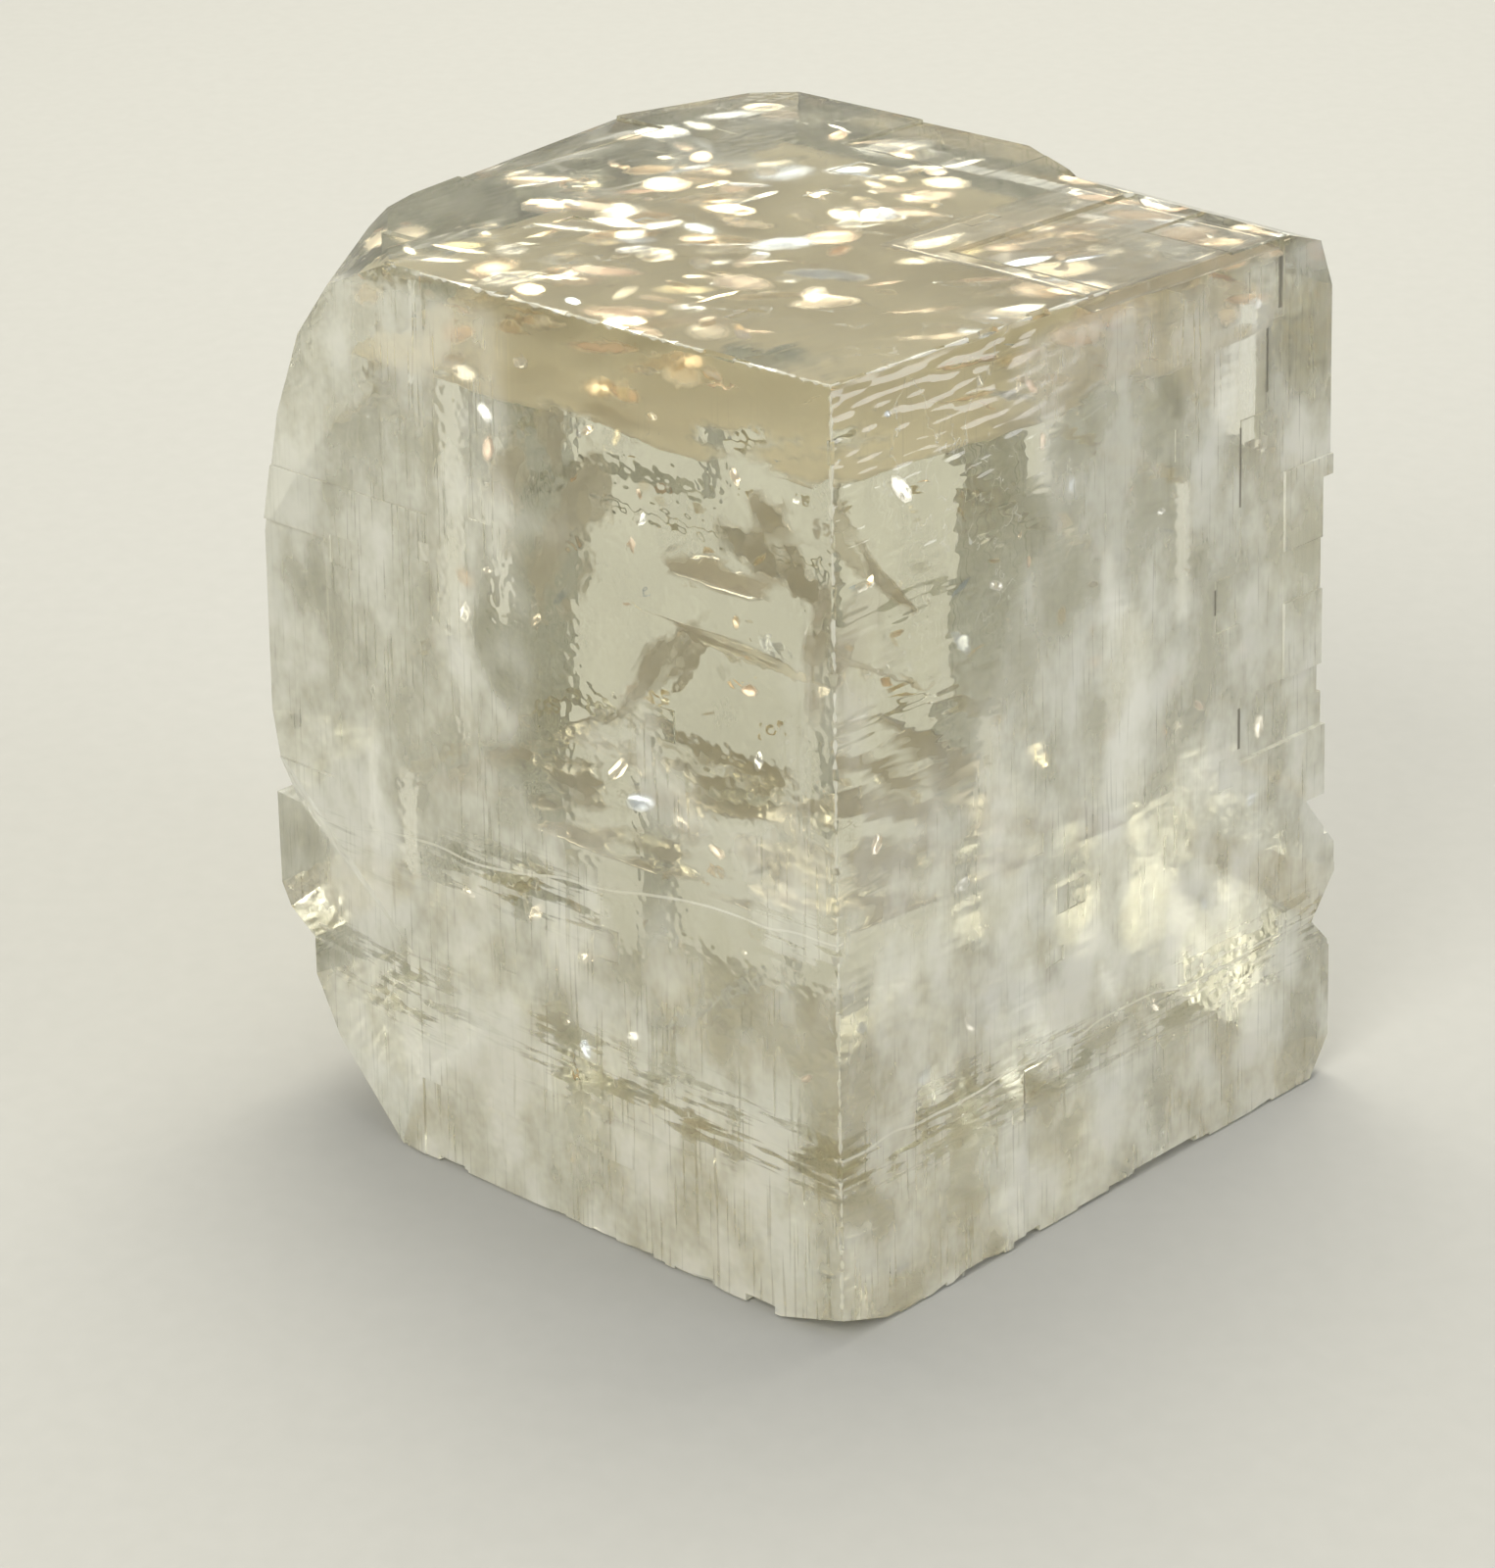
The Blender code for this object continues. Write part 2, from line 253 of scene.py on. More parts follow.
on_left_face = add(tree, FADE, right_mm, 0.5, 1.5, 1, 0, **SOFT)
on_right_face = add(tree, FADE, left_mm, 0.5, 1.5, 1, 0, **SOFT)
upper_at = add(tree, MATH, left_mm, UPPER_SLOPE, UPPER_SPLIT, operation="MULTIPLY_ADD")
from_upper = add(tree, MATH, down_mm, upper_at, operation="SUBTRACT")
from_lower = add(tree, MATH, down_mm, LOWER_SPLIT, operation="SUBTRACT")
upper_band = add(
    tree, MATH, band(tree, from_upper, 2.0, BAND_HALF, 5.0), on_left_face, operation="MULTIPLY"
)
both_bands = add(
    tree, MATH, upper_band, band(tree, from_lower, 1.3, BAND_HALF, 6.0), operation="MAXIMUM"
)
uneven = add(tree, FADE, shift, -14, 6, 0.15, 1.0, **SOFT)
in_bands = add(tree, MATH, both_bands, uneven, operation="MULTIPLY")

along = (STREAK_LENGTH, STREAK_LENGTH, 1)
streaks = cloud(tree, place, STREAK_GRAIN, detail=2, rough=0.65, stretch=along, seed=31.0)
milkier = add(tree, FADE, patches, 0.55, 1.0, 0.06, -0.08, **SOFT)
broken_up = add(tree, MATH, streaks, milkier, operation="ADD")
clear_streaks = add(tree, FADE, broken_up, 0.44, 0.58, 0, 0.8, **SOFT)
cleared = add(tree, MATH, in_bands, clear_streaks, operation="MULTIPLY")
white_streaks = add(tree, FADE, streaks, 0.36, 0.4, 0.6, 0, **SOFT)
whitened = add(tree, MATH, in_bands, white_streaks, operation="MULTIPLY")

wobble = add(tree, MATH, shift, WOBBLE, operation="MULTIPLY")
upper_line = band(tree, from_upper, wobble, LINE_HALF, LINE_FADE, LINE_MILK)
upper_line = add(tree, MATH, upper_line, on_left_face, operation="MULTIPLY")
lower_line = band(tree, from_lower, wobble, LINE_HALF, LINE_FADE, LINE_MILK)
lower_line = add(tree, MATH, lower_line, on_right_face, operation="MULTIPLY")
print("nodes with the streaks", len(tree.nodes))

# %% [markdown]
# Calcite is soft, so its edges wear white and ragged from handling. The distance to the nearest
# long edge, less a fine relief noise, marks that rim. Old cracks that healed show as thin pale
# lines that wander over a face, which is what a noise gives along one of its heights, like a line
# on a map.

# %% Worn edges and healed cracks
RELIEF_GRAIN = 1.1
WORN_MILK, HEALED_MILK = 0.85, 0.5

relief = cloud(tree, place, RELIEF_GRAIN, detail=0, stretch=(1, 4, 1), seed=3.0)
larger = add(tree, MATH, left_mm, right_mm, operation="MAXIMUM")
second = add(tree, MATH, larger, down_mm, operation="MINIMUM")
to_edge = add(tree, MATH, smaller, second, operation="MAXIMUM")
ragged = add(tree, MATH, relief, 0.9, operation="MULTIPLY")
past_rim = add(tree, MATH, to_edge, ragged, operation="SUBTRACT")
worn = add(tree, FADE, past_rim, -0.35, -0.1, WORN_MILK, 0, **SOFT)
some_places = add(tree, FADE, shift, -4, 10, 0, 1, **SOFT)
healed = band(tree, mottle, 0.5, 0.001, 0.006, HEALED_MILK)
healed = add(tree, MATH, healed, some_places, operation="MULTIPLY")

lines = worn
for mark in (whitened, healed, upper_line, lower_line):
    lines = add(tree, MATH, lines, mark, operation="MAXIMUM")
uncleared = add(tree, MATH, 1.0, cleared, operation="SUBTRACT")
milk = add(tree, MATH, cloudy, uncleared, operation="MULTIPLY")
milk = add(tree, MATH, milk, lines, operation="MAXIMUM")
print("nodes with the worn edges", len(tree.nodes))

# %% [markdown]
# Splitting leaves hair-fine lines that run down a cleavage face. They look white on clear spar and
# clear on milky spar, so they are taken off the milk and the sign is dropped. A noise with grains
# of a third of a millimetre, drawn out 25 times downwards, has long narrow hills, and only their
# tops are kept. The lines come and go with the broad noise, and the level top face has none.

# %% Hair lines
HAIR_GRAIN = 0.35
HAIR_LENGTH = 25
HAIR_MILK = 0.2

hills = cloud(tree, place, HAIR_GRAIN, detail=0, stretch=(1, 1, HAIR_LENGTH), seed=5.0)
hairs = add(tree, FADE, hills, 0.62, 0.78, 0, HAIR_MILK, **SOFT)
in_patches = add(tree, FADE, shift, -16, 12, 0.25, 1, **SOFT)
for share in (in_patches, below_top):
    hairs = add(tree, MATH, hairs, share, operation="MULTIPLY")
milk = add(tree, MATH, milk, hairs, operation="SUBTRACT")
milk = add(tree, MATH, milk, operation="ABSOLUTE")
print("nodes with the hair lines", len(tree.nodes))

# %% [markdown]
# Near the right end a few short splits stand upright. Seen from the front they mirror nothing
# bright and look like short dark lines. That dark reflection is painted into the surface colour:
# a colour ramp with hard steps says how far right each line is at each height, with an impossible
# distance where there is none, and a narrow band draws the painted dark there.

# %% Dark upright splits, painted as dark reflections
RAMP_SPAN = 100.0  # a colour ramp runs from 0 to 1, so millimetres are divided by this
NOWHERE = 200
DASH_ROWS = ((3, 9, 75), (11, 19, 72.8), (22, 32, 68), (41, 44, 63.5), (57, 61.9, 68))
LAST_FOOT = 62
DASH_HALF, DASH_FADE, DASH_PAINTED_DARK = 0.2, 0.3, 0.85


def grey(millimetres):
    """A distance as the grey that a colour ramp can hold."""
    return (millimetres / RAMP_SPAN,) * 3 + (1,)


share_down = add(tree, MATH, down_mm, RAMP_SPAN, operation="DIVIDE")
right_at = add(tree, "ShaderNodeValToRGB", share_down)
steps = right_at.node.color_ramp
steps.interpolation = "CONSTANT"
steps.elements[0].color = grey(NOWHERE)
steps.elements[1].position = LAST_FOOT / RAMP_SPAN
steps.elements[1].color = grey(NOWHERE)
for top_mm, foot_mm, dash_mm in DASH_ROWS:
    steps.elements.new(top_mm / RAMP_SPAN).color = grey(dash_mm)
    steps.elements.new(foot_mm / RAMP_SPAN).color = grey(NOWHERE)
dash_at = add(tree, MATH, right_at, RAMP_SPAN, operation="MULTIPLY")
off_line = add(tree, MATH, right_mm, dash_at, operation="SUBTRACT")
# painted dark reflection: a narrow band where each upright split mirrors nothing bright
painted_dark_dashes = band(tree, off_line, 0.0, DASH_HALF, DASH_FADE, DASH_PAINTED_DARK)
painted_dark_dashes = add(tree, MATH, painted_dark_dashes, on_right_face, operation="MULTIPLY")
print("dark splits", len(DASH_ROWS))

# %% [markdown]
# Now the mineral itself: Iceland spar, cleaved and not polished. To the eye it is water-clear to
# milky with a faint honey tint. It has an index of refraction of 1.658, well above glass, so it
# bends light more and its faces mirror more. Milk takes away transmission and blurs what is
# behind. The cleaved top is a little rough, so the glitter below it looks soft. The tint lies in
# the depth: Volume Absorption takes out a little blue for every centimetre, so thick parts look
# warmer than thin ones.

# %% Iceland spar
SPAR_IOR = 1.658
SMOOTHEST, MILK_ROUGHNESS = 0.012, 0.2
LEAST_SEE_THROUGH = 0.42
RELIEF_DEPTH, RELIEF_STRENGTH = 0.2 * MM, 0.3
TINT_DENSITY = 7.0

milk_tone = add(tree, FADE, mottle, 0.36, 0.66, 0, 1, **SOFT)
tone = add(
    tree,
    "ShaderNodeMix",
    {0: milk_tone, 6: linear("#e4e1ce"), 7: linear("#fafaf3")},
    data_type="RGBA",
    output=2,
)
tint = add(
    tree,
    "ShaderNodeMix",
    {0: milk, 6: linear("#fafaf2"), 7: tone},
    data_type="RGBA",
    output=2,
)
# the painted dark reflection of the upright splits is mixed into the surface colour here
tint = add(
    tree,
    "ShaderNodeMix",
    {0: painted_dark_dashes, 6: tint, 7: linear("#5a5444")},
    data_type="RGBA",
    output=2,
)
on_top = add(tree, FADE, down_mm, 0.2, 1.2, 1, 0, **SOFT)
haze_share = add(tree, FADE, mottle, 0.35, 0.6, 0.08, 0.22, **SOFT)
top_haze = add(tree, MATH, on_top, haze_share, operation="MULTIPLY")
milk_blur = add(tree, FADE, milk, 0.0, 0.9, SMOOTHEST, MILK_ROUGHNESS, **SOFT)
rough = add(tree, MATH, milk_blur, top_haze, operation="MAXIMUM")
# the painted dark reflection also takes away transmission
opaque = add(tree, MATH, milk, painted_dark_dashes, operation="MAXIMUM")
see_through = add(tree, FADE, opaque, 0.0, 1.0, 1.0, LEAST_SEE_THROUGH, **SOFT)
bump = add(
    tree,
    "ShaderNodeBump",
    {"Strength": RELIEF_STRENGTH, "Distance": RELIEF_DEPTH, "Height": relief},
)
surface = add(
    tree,
    "ShaderNodeBsdfPrincipled",
    {
        "Base Color": tint,
        "Roughness": rough,
        "IOR": SPAR_IOR,
        "Transmission Weight": see_through,
        "Normal": bump,
    },
)
depth = add(
    tree, "ShaderNodeVolumeAbsorption", {"Color": linear("#e7e5cc"), "Density": TINT_DENSITY}
)
add(tree, "ShaderNodeOutputMaterial", {"Surface": surface, "Volume": depth})

body.data.materials.clear()
body.data.materials.append(spar)
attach(body, "root")
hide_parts("calcite_block")
print("spar nodes", len(tree.nodes))

# %% [markdown]
# Inside the block, air has crept into splits along the three cleavage directions. Such a crack is
# a thin, slightly wavy film with a ragged rim. A small Geometry Nodes tree grows it from a flat
# grid, and the same tree later makes the milky veil. Its inputs have names, and a modifier's
# inputs are set through the identifiers behind those names. The result is turned into a plain
# mesh at once.


# %% Helpers that run a tree
def new_tree(name, sizes):
    """An empty Geometry Nodes tree, the identifiers of its named inputs, and its input sockets."""
    made = bpy.data.node_groups.new(name, "GeometryNodeTree")
    named = {}
    for label, kind in sizes.items():
        socket = made.interface.new_socket(label, in_out="INPUT", socket_type=kind)
        named[label] = socket.identifier
    made.interface.new_socket("Geometry", in_out="OUTPUT", socket_type="NodeSocketGeometry")
    return made, named, made.nodes.new("NodeGroupInput").outputs


def one_finish(mesh, finish):
    """Leaves a mesh with one material on all its faces."""
    mesh.materials.clear()
    mesh.materials.append(finish)
    for face in mesh.polygons:
        face.material_index = 0


def run_tree(name, made, named, values, place=Matrix()):
    """Makes a plain mesh with a tree, puts it in its place and leans it into the crystal."""
    piece = bpy.data.objects.new(name, bpy.data.meshes.new(name))
    bpy.context.scene.collection.objects.link(piece)
    grower = piece.modifiers.new("grow", "NODES")
    grower.node_group = made
    for label, value in values.items():
        grower[named[label]] = value
    bake_modifiers(piece)
    piece.data.transform(crystal @ place)
    one_finish(piece.data, values["Finish"])
    return piece


def wavy(tree, shape, wave_length, waviness, seed):
    """Moves every point by soft noise."""
    place = add(tree, "GeometryNodeInputPosition")
    scale = add(tree, MATH, 1.0, wave_length, operation="DIVIDE")
    wander = add(
        tree,
        "ShaderNodeTexNoise",
        {"Vector": place, "W": seed, "Detail": 3.0, "Scale": scale},
        noise_dimensions="4D",
        output="Color",
    )
    centred = add(tree, VECTOR, wander, (0.5, 0.5, 0.5), operation="SUBTRACT")
    moved = add(tree, VECTOR, {0: centred, "Scale": waviness}, operation="SCALE")
    return add(tree, "GeometryNodeSetPosition", {"Geometry": shape, "Offset": moved})


# %% [markdown]
# The sheet starts as a flat grid in millimetres. Noise says how much of each place the film
# covers, and less of it is left towards the rim. That cover is stored on the points for the
# material, and faces with none are deleted, so the film's outline is as ragged as a real one's.

# %% A torn sheet
COVER_FADE = 0.12
LEAST_COVER = 0.01

sheet_tree, sheet_inputs, given = new_tree(
    "wavy_sheet",
    {
        "Length": "NodeSocketFloat",
        "Width": "NodeSocketFloat",
        "Thickness": "NodeSocketFloat",
        "Points along": "NodeSocketInt",
        "Points across": "NodeSocketInt",
        "Patch size": "NodeSocketFloat",
        "Rim fade": "NodeSocketFloat",
        "Least noise": "NodeSocketFloat",
        "Waviness": "NodeSocketFloat",
        "Wave length": "NodeSocketFloat",
        "Seed": "NodeSocketFloat",
        "Finish": "NodeSocketMaterial",
    },
)
plain = add(
    sheet_tree,
    "GeometryNodeMeshGrid",
    {
        "Size X": given["Length"],
        "Size Y": given["Width"],
        "Vertices X": given["Points along"],
        "Vertices Y": given["Points across"],
    },
)
size = add(sheet_tree, "ShaderNodeCombineXYZ", given["Length"], given["Width"], 1.0)
spot = add(sheet_tree, "GeometryNodeInputPosition")
share = add(sheet_tree, VECTOR, spot, size, operation="DIVIDE")
reach = add(sheet_tree, VECTOR, share, operation="LENGTH", output="Value")
patch_scale = add(sheet_tree, MATH, 1.0, given["Patch size"], operation="DIVIDE")
patchy = add(
    sheet_tree,
    "ShaderNodeTexNoise",
    {
        "Vector": spot,
        "W": given["Seed"],
        "Detail": 3.0,
        "Roughness": 0.6,
        "Scale": patch_scale,
    },
    noise_dimensions="4D",
)
near_rim = add(sheet_tree, FADE, reach, 0.2, 0.55, 0, 1, **SOFT)
taken = add(sheet_tree, MATH, given["Rim fade"], near_rim, operation="MULTIPLY")
faded = add(sheet_tree, MATH, patchy, taken, operation="SUBTRACT")
full_noise = add(sheet_tree, MATH, given["Least noise"], COVER_FADE, operation="ADD")
cover = add(sheet_tree, FADE, faded, given["Least noise"], full_noise, 0, 1, **SOFT)
marked = add(
    sheet_tree,
    "GeometryNodeStoreNamedAttribute",
    {"Geometry": plain, "Name": "cover", "Value": cover},
    data_type="FLOAT",
    domain="POINT",
)
bare = add(sheet_tree, MATH, cover, LEAST_COVER, operation="LESS_THAN")
torn = add(
    sheet_tree,
    "GeometryNodeDeleteGeometry",
    {"Geometry": marked, "Selection": bare},
    domain="FACE",
)
print("nodes that tear the sheet", len(sheet_tree.nodes))

# %% [markdown]
# A film has two sides, so the torn and wavy sheet is extruded, and a turned copy closes its under
# side. Merging the two gives a closed shell a twentieth of a millimetre thick.

# %% Give the sheet its two sides
MERGE = 0.001

waved = wavy(sheet_tree, torn, given["Wave length"], given["Waviness"], given["Seed"])
upper = add(
    sheet_tree,
    "GeometryNodeExtrudeMesh",
    {"Mesh": waved, "Offset Scale": given["Thickness"], "Individual": False},
)
under = add(sheet_tree, "GeometryNodeFlipFaces", waved)
both_sides = add(sheet_tree, "GeometryNodeJoinGeometry")
sheet_tree.links.new(upper, both_sides.node.inputs[0])
sheet_tree.links.new(under, both_sides.node.inputs[0])
closed = add(
    sheet_tree, "GeometryNodeMergeByDistance", {"Geometry": both_sides, "Distance": MERGE}
)
realized = add(sheet_tree, "GeometryNodeRealizeInstances", closed)
finished = add(
    sheet_tree, "GeometryNodeSetMaterial", {"Geometry": realized, "Material": given["Finish"]}
)
add(sheet_tree, "NodeGroupOutput", finished)
print("sheet tree nodes", len(sheet_tree.nodes))

# %% [markdown]
# Whatever we put inside has to stay inside: a film that pokes through a face would look like a
# splinter. A search tree over the body's faces finds how near the surface a point lies, and a ray
# from the point crosses the surface an odd number of times only from inside. Whole flakes that
# fail are taken out, and for every inside piece we print how many points fail.

# %% Helpers that keep pieces inside the block
SKIN = 0.15 * MM
PAST = MM / 1000
RAY = Vector((0.012, 0.017, 1)).normalized()
walls = BVHTree.FromPolygons(
    [vertex.co for vertex in body.data.vertices], [face.vertices for face in body.data.polygons]
)


def sticks_out(place):
    """Whether a point lies outside the body or within its outermost skin."""
    crossed, start = 0, place
    while (wall := walls.ray_cast(start, RAY)[0]) is not None:
        crossed += 1
        start = wall + RAY * PAST
    return crossed % 2 == 0 or walls.find_nearest(place)[3] < SKIN


def drop_outside(mesh, points_each):
    """Takes out the flakes of a mesh that would stick out, points_each vertices a flake."""
    kept = bmesh.new()
    kept.from_mesh(mesh)
    kept.verts.ensure_lookup_table()
    gone = []
    for start in range(0, len(kept.verts), points_each):
        one = kept.verts[start : start + points_each]
        if any(sticks_out(vertex.co) for vertex in one):
            gone.extend(one)
    bmesh.ops.delete(kept, geom=gone, context="VERTS")
    kept.to_mesh(mesh)
    kept.free()
    print("left out", len(gone) // points_each, "pieces that would stick out")


def finish_inside(piece):
    """An inside piece is smoothed, moves with the block and has its points too near the surface
    counted.
    """
    outside = sum(sticks_out(vertex.co) for vertex in piece.data.vertices)
    print(piece.name, outside, "points of", len(piece.data.vertices), "too near the surface")
    for face in piece.data.polygons:
        face.use_smooth = True
    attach(piece, "root")
    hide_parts("calcite_block")
    print(piece.name, len(piece.data.polygons), "faces of", piece.data.materials[0].name)


def join(name, parts):
    """One object from several, with its place in its mesh."""
    together = bmesh.new()
    for part in parts:
        together.from_mesh(part.data)
    mesh = bpy.data.meshes.new(name)
    together.to_mesh(mesh)
    together.free()
    one_finish(mesh, parts[0].data.materials[0])
    for part in parts:
        bpy.data.objects.remove(part)
    whole = bpy.data.objects.new(name, mesh)
    bpy.context.scene.collection.objects.link(whole)
    return whole


# %% [markdown]
# Each sheet lies along one of the three cleavage directions. The tree grows it level, so a matrix
# that swaps the axes stands it up along the left or the right face, and a tilt tells apart the
# cracks that cut across the cleavage.

# %% Sheets along the cleavage
FILM = 0.05
ALONG = {
    "level": Matrix.Identity(4),
    "left": Matrix(((0, 0, 1, 0), (1, 0, 0, 0), (0, 1, 0, 0), (0, 0, 0, 1))),
    "right": Matrix(((1, 0, 0, 0), (0, 0, 1, 0), (0, 1, 0, 0), (0, 0, 0, 1))),
}


def grow_sheets(name, rows, finish, waviness, wave_length, patch, step):
    """Sheets from rows of plane, middle, length, width, tilt, rim fade and least noise."""
    parts = []
    for number, (plane, middle, length, width, tilt, rim_fade, least) in enumerate(rows):
        values = {
            "Length": float(length),
            "Width": float(width),
            "Thickness": FILM,
            "Points along": int(length / step),
            "Points across": int(width / step),
            "Patch size": patch,
            "Rim fade": rim_fade,
            "Least noise": least,
            "Waviness": waviness,
            "Wave length": wave_length,
            "Seed": float(number),
            "Finish": finish,
        }
        turn = Matrix.Rotation(math.radians(tilt), 4, "X")
        place = Matrix.Translation(middle) @ ALONG[plane] @ turn
        parts.append(run_tree(f"{name}_{number}", sheet_tree, sheet_inputs, values, place))
    finish_inside(join(name, parts))


# %% [markdown]
# The film of air in a crack is nearly unseen from the front and turns to silver at a slant,
# because light that meets air inside the crystal at a slant is mirrored. To the eye that is a
# pale, slightly blurred glint with see-through gaps. We mix a clear shader with a bright one by
# the slant and by the cover that the tree stored, and add a little translucent haze for the dust
# in the crack.

# %% Air films
film, tree = new_material("air_film_in_crack")
cover = add(tree, "ShaderNodeAttribute", attribute_name="cover", output="Fac")
slant = add(tree, "ShaderNodeLayerWeight", {"Blend": 0.35}, output="Fresnel")
by_slant = add(tree, FADE, slant, 0.0, 0.8, 0.3, 0.9, **SOFT)
mirror_share = add(tree, MATH, cover, by_slant, operation="MULTIPLY")
glint = add(tree, "ShaderNodeBsdfGlossy", {"Color": linear("#fffaf2"), "Roughness": 0.07})
haze = add(tree, "ShaderNodeBsdfTranslucent", {"Color": linear("#fbf8f0")})
silver = add(tree, "ShaderNodeMixShader", 0.35, glint, haze)
clear = add(tree, "ShaderNodeBsdfTransparent", {"Color": (1, 1, 1, 1)})
both = add(tree, "ShaderNodeMixShader", mirror_share, clear, silver)
add(tree, "ShaderNodeOutputMaterial", both)

crack_rows = (
    ("level", (17, 60, 2.8), 30, 33, 0, 0.0, 0.3),
    ("level", (34, 26, 65.0), 62, 48, 3, 0.0, 0.44),
    ("left", (57, 27, 32), 48, 50, 0, 0.3, 0.42),
    ("right", (16, 15, 26), 24, 26, 34, 0.2, 0.4),
    ("level", (18, 7, 28), 22, 9, -9, 0.2, 0.35),
    ("left", (7, 9, 34), 13, 22, 5, 0.2, 0.4),
    ("right", (20, 12, 38), 16, 24, 62, 0.1, 0.3),
    ("left", (34, 16, 44), 20, 14, 30, 0.1, 0.36),
)
grow_sheets(
    "cleavage_cracks", crack_rows, film, waviness=1.2, wave_length=14.0, patch=9.0, step=1.2
)

# %% [markdown]
# Under the top face lie hundreds of small flat splits. Each turns a little differently, so each
# mirrors the lamps from its own angle, and together they glitter. They come in clusters and leave
# the front corner bare. Geometry Nodes scatters points through a box under the face, and takes
# out those where a broad noise is low or the front corner is near.

# %% Where the flakes lie
flake_tree, flake_inputs, given = new_tree(
    "flakes",
    {
        "Low corner": "NodeSocketVector",
        "High corner": "NodeSocketVector",
        "Count": "NodeSocketInt",
        "Cluster size": "NodeSocketFloat",
        "Bareness": "NodeSocketFloat",
        "Clear corner": "NodeSocketFloat",
        "Smallest": "NodeSocketVector",
        "Largest": "NodeSocketVector",
        "Least turn": "NodeSocketVector",
        "Most turn": "NodeSocketVector",
        "Seed": "NodeSocketInt",
        "Finish": "NodeSocketMaterial",
    },
)
RANDOM = "FunctionNodeRandomValue"
spread = add(
    flake_tree,
    RANDOM,
    {0: given["Low corner"], 1: given["High corner"], "Seed": given["Seed"]},
    data_type="FLOAT_VECTOR",
)
dots = add(flake_tree, "GeometryNodePoints", {"Count": given["Count"], "Position": spread})
spot = add(flake_tree, "GeometryNodeInputPosition")
cluster_scale = add(flake_tree, MATH, 1.0, given["Cluster size"], operation="DIVIDE")
crowding = add(
    flake_tree,
    "ShaderNodeTexNoise",
    {"Vector": spot, "W": given["Seed"], "Detail": 1.0, "Scale": cluster_scale},
    noise_dimensions="4D",
)
thin = add(flake_tree, MATH, crowding, given["Bareness"], operation="LESS_THAN")
leftward = add(flake_tree, "ShaderNodeSeparateXYZ", spot, output="X")
rightward = add(flake_tree, "ShaderNodeSeparateXYZ", spot, output="Y")
from_corner = add(flake_tree, MATH, leftward, rightward, operation="ADD")
in_corner = add(flake_tree, MATH, from_corner, given["Clear corner"], operation="LESS_THAN")
unwanted = add(flake_tree, MATH, thin, in_corner, operation="MAXIMUM")
dots = add(
    flake_tree,
    "GeometryNodeDeleteGeometry",
    {"Geometry": dots, "Selection": unwanted},
    domain="POINT",
)
print("nodes that place the flakes", len(flake_tree.nodes))

# %% [markdown]
# One flake is a ball of 48 faces, flattened until it is as thin as a split. Its cover is full in
# the middle and fades to nothing at the rim, so its flash has no hard edge. Each copy gets its
# own size, turn and hue number, and a last bit of noise bends them all.

# %% The flakes themselves
FLAKE_SIDES, FLAKE_RINGS = 8, 6
lens = add(
    flake_tree,
    "GeometryNodeMeshUVSphere",
    {"Segments": FLAKE_SIDES, "Rings": FLAKE_RINGS, "Radius": 1.0},
)
seen_flat = add(flake_tree, VECTOR, spot, (1, 1, 0), operation="MULTIPLY")
from_middle = add(flake_tree, VECTOR, seen_flat, operation="LENGTH", output="Value")
lens = add(
    flake_tree,
    "GeometryNodeStoreNamedAttribute",
    {
        "Geometry": lens,
        "Name": "cover",
        "Value": add(flake_tree, FADE, from_middle, 0.3, 1.0, 1.0, 0.0, **SOFT),
    },
    data_type="FLOAT",
    domain="POINT",
)
turn_seed = add(flake_tree, MATH, given["Seed"], 1.0, operation="ADD")
turned = add(
    flake_tree,
    RANDOM,
    {0: given["Least turn"], 1: given["Most turn"], "Seed": turn_seed},
    data_type="FLOAT_VECTOR",
)
size_seed = add(flake_tree, MATH, given["Seed"], 2.0, operation="ADD")
sized = add(
    flake_tree,
    RANDOM,
    {0: given["Smallest"], 1: given["Largest"], "Seed": size_seed},
    data_type="FLOAT_VECTOR",
)
scattered = add(
    flake_tree,
    "GeometryNodeInstanceOnPoints",
    {"Points": dots, "Instance": lens, "Rotation": turned, "Scale": sized},
)
marked = add(
    flake_tree,
    "GeometryNodeStoreNamedAttribute",
    {
        "Geometry": scattered,
        "Name": "hue",
        "Value": add(flake_tree, RANDOM, {"Seed": given["Seed"]}, data_type="FLOAT", output=1),
    },
    data_type="FLOAT",
    domain="INSTANCE",
)
realized = add(flake_tree, "GeometryNodeRealizeInstances", marked)
bent = wavy(flake_tree, realized, wave_length=3.2, waviness=1.1, seed=3.0)
finished = add(
    flake_tree, "GeometryNodeSetMaterial", {"Geometry": bent, "Material": given["Finish"]}
)
add(flake_tree, "NodeGroupOutput", finished)
print("flake tree nodes", len(flake_tree.nodes))

# %% [markdown]
# A flake is the same air film, only small. To the eye it is a soft flash, white with a touch of
# honey, rose or blue, because so thin a film also splits colours. Its hue number picks the colour
# from a ramp, how blurred the flash is, and, multiplied and cut to its fraction, how strong it
# is.

# %% Flashing flakes
SHUFFLE = 7.3

flash, tree = new_material("flashing_flake")
hue = add(tree, "ShaderNodeAttribute", attribute_name="hue", output="Fac")
hues = add(tree, "ShaderNodeValToRGB", hue)
film_colours = hues.node.color_ramp.elements
film_colours[0].color = linear("#ffeed6")
film_colours[1].color = linear("#fff0c4")
for at, code in (
    (0.2, "#fff6e4"),
    (0.5, "#ffffff"),
    (0.62, "#dfeaff"),
    (0.7, "#fff6e0"),
    (0.9, "#ffe2cc"),
):
    film_colours.new(at).color = linear(code)
softness = add(tree, FADE, hue, 0.0, 1.0, 0.1, 0.32, **SOFT)
glint = add(tree, "ShaderNodeBsdfGlossy", {"Color": hues, "Roughness": softness})
many = add(tree, MATH, hue, SHUFFLE, operation="MULTIPLY")
own = add(tree, MATH, many, operation="FRACT")
strength = add(tree, FADE, own, 0.0, 1.0, 0.2, 0.95, **SOFT)
